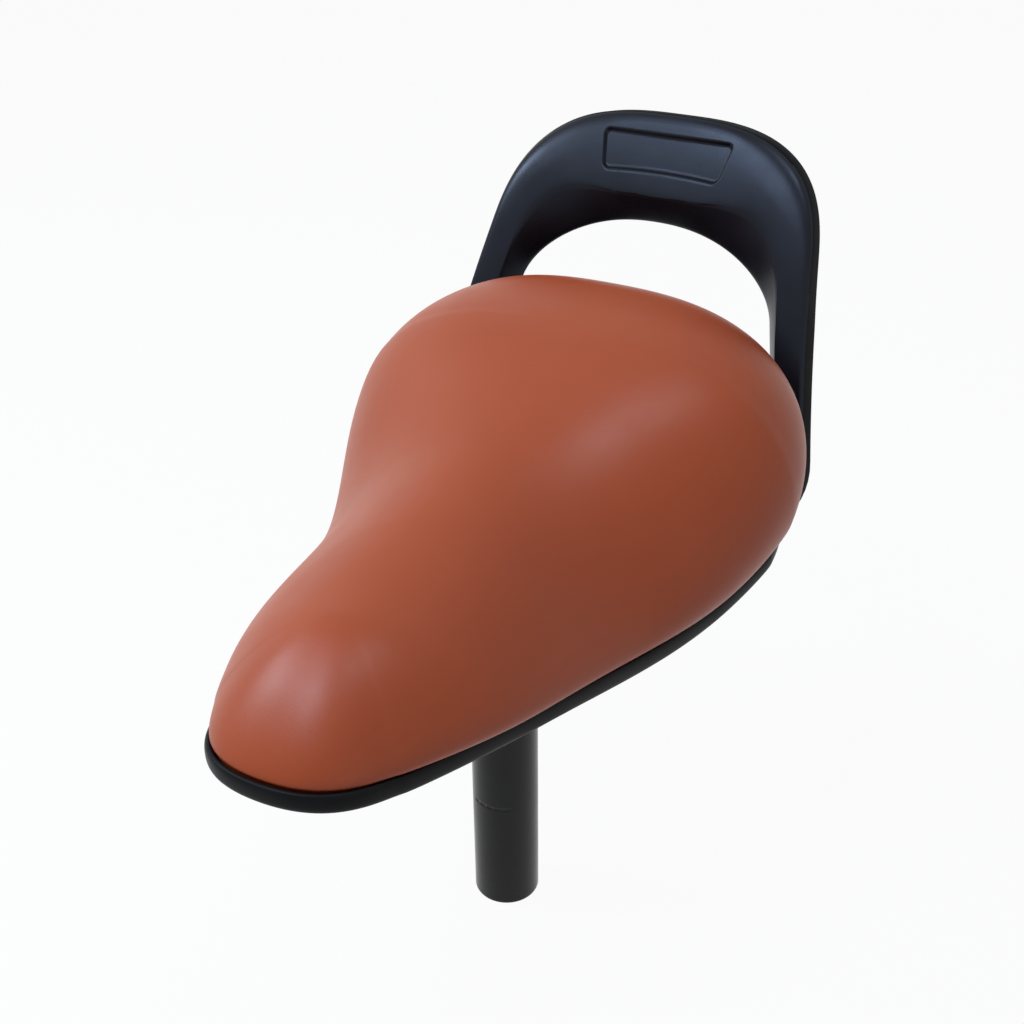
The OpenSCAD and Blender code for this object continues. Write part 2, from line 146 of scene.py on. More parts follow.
def make_uneven_coat():
    """Slow waves and a fine pebble in a coat or a moulded skin: a height and a roughness value."""
    inputs = {"Wave Scale": 120, "Pebble Scale": 2500, "Pebble Share": 0.3}
    inputs |= {"Gloss Low": 0.2, "Gloss High": 0.3}
    outputs = {"Height": "NodeSocketFloat", "Roughness": "NodeSocketFloat"}
    tree, given, result = group("uneven coat", inputs, outputs)
    wave = place_noise(tree, given.outputs["Wave Scale"], 2)
    pebble = place_noise(tree, given.outputs["Pebble Scale"], 3, 0.6)
    pebbled = given.outputs["Pebble Share"]
    height = node(tree, "ShaderNodeMix", data_type="FLOAT", Factor=pebbled, A=wave, B=pebble)
    patch = place_noise(tree, 45, 3)
    gloss = ramp(tree, patch, 0.35, 0.65, given.outputs["Gloss Low"], given.outputs["Gloss High"])
    tree.links.new(height.outputs["Result"], result.inputs["Height"])
    tree.links.new(gloss, result.inputs["Roughness"])
    return tree


uneven_coat = make_uneven_coat()


def new_material(name, **values):
    """A material's node tree and its surface shader, with plain values on the shader's own sockets."""
    material = bpy.data.materials.new(name)
    material.use_nodes = True
    tree = material.node_tree
    surface = tree.nodes["Principled BSDF"]
    for label, value in values.items():
        surface.inputs[label.replace("_", " ")].default_value = value
    return material, tree, surface


def add_bump(tree, surface, height, distance):
    """Raises the surface shader's normal by a height socket, at most distance in metres."""
    bump = node(tree, "ShaderNodeBump", Strength=1, Distance=distance, Height=height)
    tree.links.new(bump.outputs["Normal"], surface.inputs["Normal"])


def blended(tree, factor, first, second):
    """A colour between two, each given as a colour or as a socket."""
    blend = node(tree, "ShaderNodeMix", data_type="RGBA", Factor=factor)
    for socket, colour in ((blend.inputs[6], first), (blend.inputs[7], second)):
        if isinstance(colour, tuple):
            socket.default_value = (*colour, 1)
        else:
            tree.links.new(colour, socket)
    return blend.outputs[2]


def two_tone(tree, surface, first, second, scale):
    """Drifts the base colour between two near tones."""
    patch = ramp(tree, place_noise(tree, scale, 3), 0.35, 0.65, 0, 1)
    tree.links.new(blended(tree, patch, first, second), surface.inputs["Base Color"])


def uneven(tree, surface, wave, pebble, pebble_share, gloss):
    """Gives the surface an uneven coat's roughness between two gloss values, and returns its height."""
    settings = {"Wave Scale": wave, "Pebble Scale": pebble, "Pebble Share": pebble_share}
    settings |= {"Gloss Low": gloss[0], "Gloss High": gloss[1]}
    coat = node(tree, "ShaderNodeGroup", node_tree=uneven_coat, **settings)
    tree.links.new(coat.outputs["Roughness"], surface.inputs["Roughness"])
    return coat.outputs["Height"]


def coated(name, first, second, wave, pebble, pebble_share, gloss, depth, **values):
    """A dark coat or moulded skin with its own waves, pebble and gloss."""
    material, tree, surface = new_material(name, **values)
    two_tone(tree, surface, first, second, 60)
    add_bump(tree, surface, uneven(tree, surface, wave, pebble, pebble_share, gloss), depth)
    return material


post_coat = coated("black powder coat", (0.008, 0.008, 0.009), (0.011, 0.011, 0.012), 260, 2200, 0.25,
                   (0.18, 0.26), 0.00006, Specular_IOR_Level=0.2)


def mark_dip(angle, z):
    """How deep the pressed marks go at an angle from the front and a height."""
    dip = 0
    for mark in mark_angles:
        across = abs(radians(angle - mark)) * post_r / (mark_w / 2)
        along = abs(z - mark_level) / (mark_h / 2)
        edge = max(across, along)
        dip = max(dip, min(max((1.25 - edge) / 0.5, 0), 1))
    return dip * mark_depth


def make_post():
    edge = post_edge
    inner = post_r - post_wall
    walls = [edge, edge * 3] + list(np.linspace(6 * mm, mark_level - mark_clear, 12))
    walls += list(np.arange(mark_level - mark_h, mark_level + mark_h + 0.1 * mm, 0.2 * mm))
    walls += list(np.linspace(mark_level + mark_clear, post_top - 1.5 * weld, 12))
    profile = [(inner, edge), (inner + edge * 0.3, edge * 0.3), (inner + edge, 0)]
    profile += [(post_r - edge, 0), (post_r - edge * 0.3, edge * 0.3)]
    profile += [(post_r, z) for z in walls]
    bead = [(post_r + weld * (1 - cos(a)) * 0.95, post_top - weld * (1.1 - 1.1 * sin(a)))
            for a in np.linspace(0.1, pi / 2, 9)]
    bead_from = len(profile)
    profile += bead + [(inner, post_top)]
    rings = []
    for k, (r, z) in enumerate(profile):
        up_bead = (k - bead_from) / len(bead)
        loop = []
        for i in range(post_turns):
            turn = 2 * pi * i / post_turns
            angle = (np.degrees(turn) + 90 + 180) % 360 - 180
            reach = r - mark_dip(angle, z) if r == post_r else r
            if 0 <= up_bead < 1:
                reach += weld_ripple_h * abs(sin(turn * weld_ripples / 2)) * sin(pi * up_bead)
            loop.append((reach * cos(turn), reach * sin(turn), z))
        rings.append(loop)
    return new_piece("post_tube", *loft(rings))


post_tube = make_post()
post_tube.data.materials.append(post_coat)
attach(post_tube, "root")
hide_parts("seat_post")


# Mounting plate
# Pressed steel plate on the post's upper end, coated with it. Its edge is rounded by the press, and
# four holes take the bolts that hold the saddle.

plate_low, plate_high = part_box("mounting_plate")
plate_corner = 10 * mm
bolt_places = [(x * 18 * mm, y * 24 * mm) for x in (-1, 1) for y in (-1, 1)]
bolt_hole_r = 3.3 * mm


def arc(cx, cy, r, start, end, steps):
    """Points on an arc, its angles in degrees."""
    turns = [radians(start + (end - start) * i / steps) for i in range(steps + 1)]
    return [(cx + r * cos(t), cy + r * sin(t)) for t in turns]


def rounded_box(half_x, half_y, corner):
    """The outline of a rectangle with round corners."""
    points = []
    for start, sx, sy in ((0, 1, 1), (90, -1, 1), (180, -1, -1), (270, 1, -1)):
        points += arc(sx * (half_x - corner), sy * (half_y - corner), corner, start, start + 90, 10)
    return points


def built_mesh(thing):
    """The mesh that a curve, or a piece with its modifiers, comes out as."""
    bpy.context.view_layer.update()
    return bpy.data.meshes.new_from_object(thing.evaluated_get(bpy.context.evaluated_depsgraph_get()))


def flat_plate(name, outline, holes, z_low, z_high, edge):
    """A plate of an outline with round holes, its edges rounded by edge, as a mesh."""
    curve = bpy.data.curves.new(name, "CURVE")
    curve.dimensions = "2D"
    curve.fill_mode = "BOTH"
    curve.extrude = (z_high - z_low) / 2 - edge
    curve.bevel_depth = edge
    curve.bevel_resolution = 3
    curve.offset = -edge
    for loop in [outline] + [arc(x, y, r, 0, -360 * 31 / 32, 31) for x, y, r in holes]:
        spline = curve.splines.new("POLY")
        spline.points.add(len(loop) - 1)
        for point, (x, y) in zip(spline.points, loop):
            point.co = (x, y, 0, 1)
        spline.use_cyclic_u = True
    shape = bpy.data.objects.new(name, curve)
    bpy.context.scene.collection.objects.link(shape)
    solid = built_mesh(shape)
    verts = [(v.co.x, v.co.y, v.co.z + (z_low + z_high) / 2) for v in solid.vertices]
    faces = [tuple(p.vertices) for p in solid.polygons]
    bpy.data.objects.remove(shape)
    return verts, faces


plate_outline = rounded_box(plate_high.x, plate_high.y, plate_corner)
plate_holes = [(x, y, bolt_hole_r) for x, y in bolt_places]
plate_mesh = flat_plate("plate", plate_outline, plate_holes, plate_low.z, plate_high.z, 0.5 * mm)
steel_plate = new_piece("steel_plate", *plate_mesh, sharp=40)
steel_plate.data.materials.append(post_coat)
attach(steel_plate, "root")
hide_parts("mounting_plate")


# Base pan
# A moulded dish with a rolled bead round its rim, which the cushion stands in. Ribs on a square grid
# stiffen its underside, with solid pads and bosses where the plate, the handle and the screws bear.

pan_low, pan_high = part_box("base_pan")
nose_y = pan_low.y
rear_y = pan_high.y
half_w = pan_high.x
widest_y = 54 * mm
nose_half = 32.5 * mm
nose_len = 25 * mm
flank_angle = radians(28)
nose_steps = 30
flank_steps = 48
rear_steps = 36
rib_z = plate_high.z
rib_h = 6 * mm
rib_t = 2 * mm
rib_pitch = 24 * mm
rib_inset = 17 * mm
rib_slope = 8 * mm
boss_r = 6.5 * mm
floor_z = rib_z + rib_h
floor_t = 2.6 * mm
rim_z = floor_z + 20 * mm
nose_climb = 18 * mm
climb_start = -52 * mm
rim_line = [v * mm for v in (8.5, -5.5, -14, 4.5)]
foot_inset = 3 * mm
soft_gap = 0.4 * mm
lip_w = foot_inset - soft_gap


def cubic(p, t):
    """Points on a cubic curve with four control points."""
    a, b, c, d = (np.array(q) for q in p)
    t = np.asarray(t)[:, None]
    return (1 - t) ** 3 * a + 3 * (1 - t) ** 2 * t * b + 3 * (1 - t) * t * t * c + t ** 3 * d


def through(values, s):
    """A smooth line through equally spaced values, read at shares s."""
    v = np.asarray(values, float)
    n = len(v) - 1
    v = np.concatenate([[2 * v[0] - v[1]], v, [2 * v[-1] - v[-2]]])
    x = np.clip(s, 0, 1) * n
    i = np.minimum(x.astype(int), n - 1)
    t = x - i
    a, b, c, d = v[i], v[i + 1], v[i + 2], v[i + 3]
    bend = (2 * a - 5 * b + 4 * c - d) * t ** 2
    return 0.5 * (2 * b + (c - a) * t + bend + (3 * b - a - 3 * c + d) * t ** 3)


def ease(t):
    u = np.clip(t, 0, 1)
    return u * u * (3 - 2 * u)


def make_rim():
    """The rim from above, and the way straight out at each of its points."""
    way = np.array([sin(flank_angle), cos(flank_angle)])
    nose_end = np.array([nose_half, nose_y + nose_len])
    widest = np.array([half_w, widest_y])
    nose = [(0, nose_y), (nose_half * 0.78, nose_y), nose_end - 8 * mm * way, nose_end]
    flank = [nose_end, nose_end + 12 * mm * way, widest - (0, 8 * mm), widest]
    rear = [widest, widest + (0, 40 * mm), (half_w * 0.66, rear_y), (0, rear_y)]
    nose_span = cubic(nose, np.arange(nose_steps) / nose_steps)
    flank_span = cubic(flank, np.arange(flank_steps) / flank_steps)
    half = np.concatenate([nose_span, flank_span, cubic(rear, np.arange(rear_steps + 1) / rear_steps)])
    whole = np.concatenate([half, (half * (-1, 1))[-2:0:-1]])
    t = np.roll(whole, -1, 0) - np.roll(whole, 1, 0)
    way_out = np.stack([t[:, 1], -t[:, 0]], 1)
    return whole, way_out / np.linalg.norm(way_out, axis=1)[:, None]


rim, outward = make_rim()


def share(y):
    return np.clip((y - nose_y) / (rear_y - nose_y), 0, 1)


def rim_height(y):
    return rim_z + through(rim_line, share(y))


def floor_height(y):
    return floor_z + nose_climb * ease((climb_start - y) / (climb_start - nose_y))


def ring(inset, q, lift):
    """A ring set in from the rim, from the rim's height at q = 0 to the floor's at q = 1."""
    p = rim - inset * outward
    y = p[:, 1]
    return np.column_stack([p, (1 - q) * rim_height(y) + q * floor_height(y) + lift])


def strip_cap(start, n, flip):
    """Faces that close a ring of n vertices with strips from side to side."""
    h = n // 2
    faces = [(start, start + 1, start + n - 1), (start + h - 1, start + h, start + h + 1)]
    faces += [(start + i, start + i + 1, start + n - i - 1, start + n - i) for i in range(1, h - 1)]
    return [f[::-1] for f in faces] if flip else faces


def strip_capped(rings):
    """Vertices and faces through rings of the rim's form, both ends closed."""
    verts, faces = loft(rings, closed=False)
    n = len(rings[0])
    faces += strip_cap(0, n, True) + strip_cap(n * (len(rings) - 1), n, False)
    return verts, faces


def capped(rings):
    """Vertices and faces through a stack of rings, each end one flat face."""
    verts, faces = loft(rings, closed=False)
    n = len(rings[0])
    faces += [tuple(range(n)), tuple(n * (len(rings) - 1) + i for i in range(n))]
    return verts, faces


def level_ring(r, z, turns=48):
    return [(r * cos(2 * pi * i / turns), r * sin(2 * pi * i / turns), z) for i in range(turns)]


def moved(shape, x, y, turn=0):
    """A (vertices, faces) pair turned about Z and moved."""
    verts, faces = shape
    c, s = cos(turn), sin(turn)
    return [(x + c * v[0] - s * v[1], y + s * v[0] + c * v[1], v[2]) for v in verts], faces


def stack(parts):
    """Several (vertices, faces) pairs as one."""
    verts = []
    faces = []
    for part_verts, part_faces in parts:
        start = len(verts)
        verts += [tuple(v) for v in part_verts]
        faces += [tuple(start + i for i in f) for f in part_faces]
    return verts, faces


def pan_shell():
    """The dish's section as (inset, share of the way down to the floor, lift), under, round the bead
    and back inside."""
    bead_level = -1.1 * mm
    bead_half = 3.3 * mm
    under = [(15, 1, 0), (12, 0.86, -0.7), (9, 0.55, -1.6), (6.5, 0.3, -2.9), (4.6, 0.12, -3.7),
             (3, 0.02, -4.2)]
    inside = [(lip_w / mm, 0, -1.5), (4.6, 0.13, -0.9), (7, 0.35, 0), (9, 0.58, 1), (11, 0.8, 2.1),
              (13, 0.94, 2.5), (15, 1, floor_t / mm)]
    rings = [ring(i * mm, q, z * mm) for i, q, z in under]
    for a in np.linspace(-65, 180, 22):
        bulge_x, bulge_z = (np.sign(v) * abs(v) ** 0.8 for v in (-cos(radians(a)), sin(radians(a))))
        rings.append(ring(lip_w / 2 * (1 + bulge_x), 0, bead_level + bead_half * bulge_z))
    rings += [ring(i * mm, q, z * mm) for i, q, z in inside]
    return strip_capped(rings)


def inset_of(x, y):
    """How far a point lies inside the rim, or a negative length outside it."""
    gap = np.hypot(rim[:, 0] - x, rim[:, 1] - y)
    i = int(gap.argmin())
    return gap[i] if np.dot(np.array([x, y]) - rim[i], outward[i]) < 0 else -gap[i]


def rib(line, along_y):
    """One rib under the floor on a grid line, with slanted ends and a rounded lower edge."""
    stations = []
    for run in np.arange(-150 * mm, 110 * mm, 2 * mm):
        x, y = (line, run) if along_y else (run, line)
        depth = min(max((inset_of(x, y) - rib_inset) / rib_slope, 0), 1) * rib_h
        if depth > 0.05 * mm:
            stations.append((x, y, depth))
    if len(stations) < 3:
        return None
    half = rib_t / 2
    loops = []
    for x, y, depth in stations:
        top = float(floor_height(np.array(y))) + 1 * mm
        low = top - 1 * mm - depth + 0.05 * mm
        soft = min(0.6 * mm, depth * 0.5)
        left = [(-half, top), (-half, low + soft), (-half + 0.25 * soft, low + 0.2 * soft),
                (-half + soft, low)]
        shape = left + [(-s, z) for s, z in left[::-1]]
        loops.append([(x + s, y, z) if along_y else (x, y + s, z) for s, z in shape])
    return capped(loops)


def boss(z_low, z_high):
    """A round pad with a rounded lower edge."""
    r = boss_r
    soft = 0.5 * mm
    profile = [(r, z_high), (r, z_low + soft), (r - 0.3 * soft, z_low + 0.3 * soft), (r - soft, z_low)]
    return capped([level_ring(q, z, 40) for q, z in profile])


board_inset = 20 * mm
screw_margin = 9 * mm
screw_ys = (climb_start + screw_margin, (climb_start + screw_margin + widest_y) / 2, widest_y)
front_rim = rim[:nose_steps + flank_steps + 1]
screw_line = np.interp(screw_ys, front_rim[:, 1], front_rim[:, 0]) - board_inset - screw_margin
pan_screw_places = [(side * x, y) for x, y in zip(screw_line, screw_ys) for side in (-1, 1)]
handle_screw_places = [(side * 34 * mm, y) for y in (51 * mm, 75 * mm) for side in (-1, 1)]

pad_margin = 2 * mm
pad_top = floor_z + 1 * mm
pad_outline = rounded_box(plate_high.x + pad_margin, plate_high.y + pad_margin, plate_corner)
ribs = [rib(i * rib_pitch, True) for i in range(-3, 4)] + [rib(i * rib_pitch, False) for i in range(-6, 5)]
pan_parts = [pan_shell()] + [part for part in ribs if part]
pan_parts += [moved(boss(rib_z, pad_top), x, y) for x, y in pan_screw_places + handle_screw_places]
pan_parts.append(flat_plate("pad", pad_outline, [], rib_z, pad_top, 0.5 * mm))
pan = new_piece("base_dish", *stack(pan_parts))
pan_plastic = coated("satin black moulding", (0.005, 0.005, 0.006), (0.008, 0.008, 0.009), 150, 3000, 0.5,
                     (0.36, 0.46), 0.00005, Specular_IOR_Level=0.08)
pan.data.materials.append(pan_plastic)
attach(pan, "root")
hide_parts("base_pan")


# Rear handle
# One moulding that stands behind the cushion: a broad arch with a crowned front that rolls into the
# hand gap, a plain sunk panel at its top, a ribbed hollow back, and a flange screwed under the pan. Its
# front is satin, with a bluish tint painted into its sheen. The panel's floor is etched, its lighter
# bluish grey partly its own and partly painted sheen, and the walls are matt as they leave the mould.

flange_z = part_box("rear_handle")[0].z
handle_d = 12.5 * mm
handle_t = 3 * mm
lean_y = rear_y - 10 * mm
lean_slope = 0.23
lean_bow = 0.002 / mm
foot_tuck = 20 * mm
foot_top = 4 * mm
top_draft = 0.2
outer_form = (79 * mm, 0.17, 73 * mm, 117 * mm, 2.9, 3.1, 0.4)
inner_form = (65 * mm, 0.24, 51 * mm, 78 * mm, 2.2, 2, 0.32)
flange_half = 46 * mm
flange_front = plate_high.y + 5 * mm
flange_back = rear_y - 17 * mm
flange_widens = flange_back - 22 * mm
flange_hole_r = 2.4 * mm
flange_web = [(24 * mm, flange_back + 4 * mm), (10 * mm, flange_back)]
panel_up = 104 * mm
panel_tall = 15.5 * mm
panel_top_w = 53 * mm
panel_low_w = 47 * mm
panel_corner = 2.5 * mm
panel_sunk = 1.4 * mm
panel_border = 1.5 * mm
panel_stand = 0.7 * mm
edge_line = [v * mm for v in (1.2, 1.2, 1.2, 1.4, 2.4, 4, 5.2, 5.4, 4.4, 3, 2.6)]
face_line = (0.68, 0.68, 0.68, 0.67, 0.64, 0.58, 0.54, 0.54, 0.6, 0.67, 0.69)


def arch(form, u):
    """A point on an arch: straight legs, then a squared round top."""
    w, taper, shoulder, top, round_x, round_z, legs = form
    if u < legs:
        up = flange_z - rim_z + (shoulder - flange_z + rim_z) * u / legs
        tuck = foot_tuck * (max(foot_top - up, 0) / (foot_top + rim_z - flange_z)) ** 2
        return np.array([w - taper * up - tuck, up])
    a = pi / 2 * (u - legs) / (1 - legs)
    up = shoulder + (top - shoulder) * sin(a) ** (2 / round_z)
    return np.array([(w - taper * up) * max(cos(a), 0) ** (2 / round_x), up])


def front_y(up):
    return lean_y + lean_slope * up + lean_bow * up * up


def smooth_line(points, steps):
    """A smooth line through points, with steps pieces between each pair."""
    p = np.asarray(points, float)
    s = np.linspace(0, 1, (len(p) - 1) * steps + 1)
    return np.column_stack([through(p[:, 0], s), through(p[:, 1], s)])


def front_line(w, u):
    """The front's section over a band of width w: a rounded outer edge, a broad face, and beyond a soft
    crease a slope down to the hand gap."""
    edge = float(through(edge_line, np.array([u]))[0])
    face = w * float(through(face_line, np.array([u]))[0])
    slope = w - face
    points = [(0, 1.1 * edge), (0.08 * edge, 0.68 * edge), (0.38 * edge, 0.33 * edge),
              (0.95 * edge, 0.1 * edge), (1.8 * edge, 0), (0.4 * face + edge, -0.1 * mm),
              (face - 0.1 * slope, 0.1 * mm), (face + 0.04 * slope, 0.7 * mm),
              (face + 0.2 * slope, 2.2 * mm), (face + 0.6 * slope, 6.4 * mm),
              (w - 0.06 * slope, handle_d - 2.2 * mm), (w, handle_d - 0.6 * mm)]
    return smooth_line(points, 5)


def behind(front, s, wall):
    """The depth a wall's thickness behind the front, short of the open back."""
    depth = np.interp(s, front[:, 0], front[:, 1])
    steep = (np.interp(s + 0.3 * mm, front[:, 0], front[:, 1]) - depth) / (0.3 * mm)
    return np.minimum(depth + wall * np.sqrt(1 + steep ** 2), handle_d - 0.8 * mm)


def handle_section(w, u):
    """The open channel's section over a band of width w, as distance across and depth."""
    front = front_line(w, u)
    t = handle_t
    d = handle_d
    lip = [(w - 0.2 * mm, d - 0.15 * mm), (w - 0.6 * mm, d), (w - t + 0.5 * mm, d), (w - t, d - 0.5 * mm)]
    across = np.linspace(w - t - 0.3 * mm, t + 1.2 * mm, 24)
    back = np.column_stack([across, behind(front, across, 0.85 * t)])
    deep = back[-1, 1]
    wall = [(t + 0.3 * mm, deep + 0.5 * mm), (t, deep + 1.4 * mm), (t, d - 0.5 * mm), (t - 0.4 * mm, d),
            (0.5 * mm, d), (0.15 * mm, d - 0.15 * mm), (0, d - 0.6 * mm), (0, 0.8 * d), (0, 0.65 * d)]
    return np.concatenate([front, lip, back, wall])


def panel_dip(x, along):
    """How deep the panel is sunk at a point across and up the front, with a rounded border."""
    half_tall = panel_tall / 2
    slant = (panel_top_w - panel_low_w) / 2 / panel_tall
    low_arch = 1.2 * mm * (1 - (x / (panel_low_w / 2)) ** 2) if abs(x) < panel_low_w / 2 else 0
    side = (abs(x) - (panel_top_w + panel_low_w) / 4 - slant * along) / sqrt(1 + slant * slant)
    up = along - half_tall if along > 0 else -along - half_tall + low_arch
    a = side + panel_corner
    b = up + panel_corner
    out = sqrt(max(a, 0) ** 2 + max(b, 0) ** 2) + min(max(a, b), 0) - panel_corner
    return panel_sunk * float(ease(np.array(0.5 - out / panel_border)))


def handle_ring(u, side):
    outer = arch(outer_form, u)
    inner = arch(inner_form, u)
    reach = inner - outer
    w = float(np.linalg.norm(reach))
    across = reach / w
    points = []
    for s, back in handle_section(w, u):
        x, up = outer + s * across + (0, top_draft * back * max(1 - s / w, 0) * across[1])
        points.append((side * x, front_y(up) + back, rim_z + up))
    return points


def make_handle_shell():
    """The whole arch, its rings close together where the panel lies."""
    shares = np.concatenate([np.linspace(0, 0.6, 40, endpoint=False), np.linspace(0.6, 1, 150)])
    return capped([handle_ring(u, 1) for u in shares] + [handle_ring(u, -1) for u in shares[-2::-1]])


def handle_rib(u, side):
    """A thin cross rib in the hollow back."""
    outer = arch(outer_form, u)
    inner = arch(inner_form, u)
    way = arch(outer_form, min(u + 0.01, 1)) - arch(outer_form, u - 0.01)
    step = way / np.linalg.norm(way) * rib_t / 2
    w = float(np.linalg.norm(inner - outer))
    across = (inner - outer) / w
    runs = np.linspace(w - handle_t - 0.5 * mm, handle_t - 1 * mm, 9)
    shape = [(run, depth) for run, depth in zip(runs, behind(front_line(w, u), runs, 0.7 * handle_t))]
    shape += [(handle_t - 1 * mm, handle_d - 1.5 * mm), (w - handle_t + 1 * mm, handle_d - 1.5 * mm)]
    loops = []
    for shift, shrink in ((-1, 0.4), (-0.6, 0), (0.6, 0), (1, 0.4)):
        loop = []
        for s, back in shape:
            drop = shrink * mm if back > handle_d - 2 * mm else 0
            sink = top_draft * back * max(1 - s / w, 0) * across[1]
            x, up = outer + s * across + shift * step + (0, sink)
            loop.append((side * x, front_y(up - shift * step[1]) + back - drop, rim_z + up))
        loops.append(loop)
    return capped(loops)


def round_off(points, r):
    """An outline with each corner cut by a curve that starts r before it."""
    result = []
    n = len(points)
    for i in range(n):
        a, b, c = (np.array(points[j % n]) for j in (i - 1, i, i + 1))
        cut = min(r, np.linalg.norm(a - b) / 2.2, np.linalg.norm(c - b) / 2.2)
        p = b + (a - b) / np.linalg.norm(a - b) * cut
        q = b + (c - b) / np.linalg.norm(c - b) * cut
        result += [tuple((1 - t) ** 2 * p + 2 * (1 - t) * t * b + t * t * q) for t in np.linspace(0, 1, 6)]
    return result


def make_flange():
    """The flange's plate, with a round hole for each screw, run out to the legs' feet."""
    leg_in = arch(inner_form, 0)[0]
    leg_out = arch(outer_form, 0)[0] - 0.3 * mm
    leg_y = front_y(flange_z - rim_z)
    leg_back = leg_y + handle_d - 0.3 * mm
    half = [(flange_half, flange_front), (flange_half, flange_widens), (leg_out, leg_y + 1 * mm)]
    half += [(leg_out, leg_back), (leg_in, leg_back)] + flange_web
    outline = half + [(-x, y) for x, y in half[::-1]]
    holes = [(x, y, flange_hole_r) for x, y in handle_screw_places]
    return flat_plate("flange", round_off(outline, 4 * mm), holes, flange_z, rib_z, 0.6 * mm)


def sink_panel(piece):
    """Sinks the panel into the front, square to it, in a mesh made finer there."""
    slope = atan(lean_slope + 2 * lean_bow * panel_up)
    mid = Vector((0, front_y(panel_up) - panel_stand, rim_z + panel_up))
    up_way = Vector((0, sin(slope), cos(slope)))
    in_way = Vector((0, cos(slope), -sin(slope)))
    fine = bmesh.new()
    fine.from_mesh(piece.data)

    def on_panel(place, margin):
        offset = place - mid
        near_x = abs(place.x) < panel_top_w / 2 + margin
        near_up = abs(offset.dot(up_way)) < panel_tall / 2 + margin
        return near_x and near_up and -1.5 * mm < offset.dot(in_way) < 1.6 * mm

    area = [f for f in fine.faces if on_panel(f.calc_center_median(), 3 * mm)]
    edges = list({e for f in area for e in f.edges})
    bmesh.ops.subdivide_edges(fine, edges=edges, cuts=3, use_grid_fill=True)
    for v in fine.verts:
        if on_panel(v.co, panel_border):
            v.co += in_way * panel_dip(v.co.x, (v.co - mid).dot(up_way))
    for f in fine.faces:
        place = f.calc_center_median()
        if on_panel(place, 0) and panel_dip(place.x, (place - mid).dot(up_way)) > 0.98 * panel_sunk:
            f.material_index = 1
    fine.to_mesh(piece.data)
    fine.free()
    piece.data.set_sharp_from_angle(angle=radians(50))


wall_turn = -0.3
rib_shares = (0.07, 0.17, 0.27, 0.37, 0.48, 0.6, 0.72, 0.84)
handle_shell = new_piece("handle_shell", *make_handle_shell(), sharp=50)
handle_ribs = [handle_rib(u, side) for u in rib_shares for side in (-1, 1)] + [handle_rib(0.99, 1)]
handle_frame = new_piece("handle_ribs", *stack(handle_ribs + [make_flange()]), sharp=40)
# The handle's Specular Tint (0.70, 0.80, 1) is a painted bluish sheen: it colours every highlight and
# reflection on the moulding blue.
handle_plastic = coated("satin black handle", (0.005, 0.005, 0.007), (0.007, 0.007, 0.010), 180, 2600, 0.4,
                        (0.27, 0.34), 0.00004, Specular_IOR_Level=0.22, Specular_Tint=(0.70, 0.80, 1, 1))
# The panel's lighter blue-grey is partly the etched floor's own grey and partly a painted bluish sheen.
panel_plastic = coated("etched black panel", (0.036, 0.038, 0.058), (0.046, 0.048, 0.072), 600, 2400, 0.6,
                       (0.5, 0.6), 0.00012, Specular_IOR_Level=0.2)
wall_plastic = coated("matt black wall", (0.006, 0.006, 0.007), (0.009, 0.009, 0.010), 200, 2800, 0.5,
                      (0.72, 0.82), 0.00005, Specular_IOR_Level=0.06)
for paint in (handle_plastic, panel_plastic, wall_plastic):
    handle_shell.data.materials.append(paint)
handle_frame.data.materials.append(handle_plastic)
for piece in (handle_shell, handle_frame):
    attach(piece, "root")
    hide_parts("rear_handle")
sink_panel(handle_shell)
for f in handle_shell.data.polygons:
    if f.normal.y > wall_turn:
        f.material_index = 2


# Cushion cover
# Tan leatherette, drawn smooth over the pad with no seam. Its hem goes down inside the pan's bead and
# turns in under the pad. The surface has a very fine pressed grain and a soft satin sheen.

skin_t = 1 * mm
hem_rise = 2.4 * mm
hem_low = -0.5 * mm
ridge_line = [v * mm for v in (39.5, 35.5, 40.5, 49, 66, 67.5)]
shoulder_line = [1.22, 1, 1.26, 0.6, 0.62]
flank_line = [1.75, 1.74, 1.71, 1.15, 0.72]
swell_line = [v * mm for v in (1.2, 8.7, 6.5, 13.6, 10)]
swell_low = 0.67
spine_nose = 48 * mm
spine_rear = 20 * mm
crown_blend = 0.25
ease_reach = (-0.07, -0.045, -0.02, 0, 0.02, 0.045, 0.07)


def between(value, low, high, soft):
    """Holds values between two ends, turning softly into them."""
    value = 0.5 * (value + low + np.sqrt((value - low) ** 2 + 4 * soft ** 2))
    return 0.5 * (value + high - np.sqrt((value - high) ** 2 + 4 * soft ** 2))


def eased(values, s):
    """A smooth run through values, its bends spread out so that none shows as a line in the sheen."""
    return sum(through(values, np.clip(s + d, 0, 1)) for d in ease_reach) / len(ease_reach)


def face_ring(v):
    """A ring on the cushion's face, from its hem at v = 0 to its ridge at v = 1."""
    foot = rim - foot_inset * outward
    s = share(foot[:, 1])
    spine_y = between(foot[:, 1], nose_y + spine_nose, rear_y - spine_rear, 3 * mm)
    spine = np.column_stack([np.zeros(len(foot)), spine_y])
    shoulder = eased(shoulder_line, s)
    draw = cos(pi / 2 * v) ** shoulder
    e = crown_blend ** 2
    power = 1 / shoulder
    sunk = ((draw ** 2 + e) ** power - e ** power) / ((1 + e) ** power - e ** power)
    rise = np.maximum(1 - sunk, 0) ** (eased(flank_line, s) / 2)
    swell = through(swell_line, s) * sin(pi * v ** swell_low)
    p = spine + draw[:, None] * (foot - spine) + swell[:, None] * outward
    ridge = eased(ridge_line, share(spine_y))
    z = rim_z + hem_rise + through(rim_line, s) * (1 - rise) + ridge * rise
    return np.column_stack([p, z])


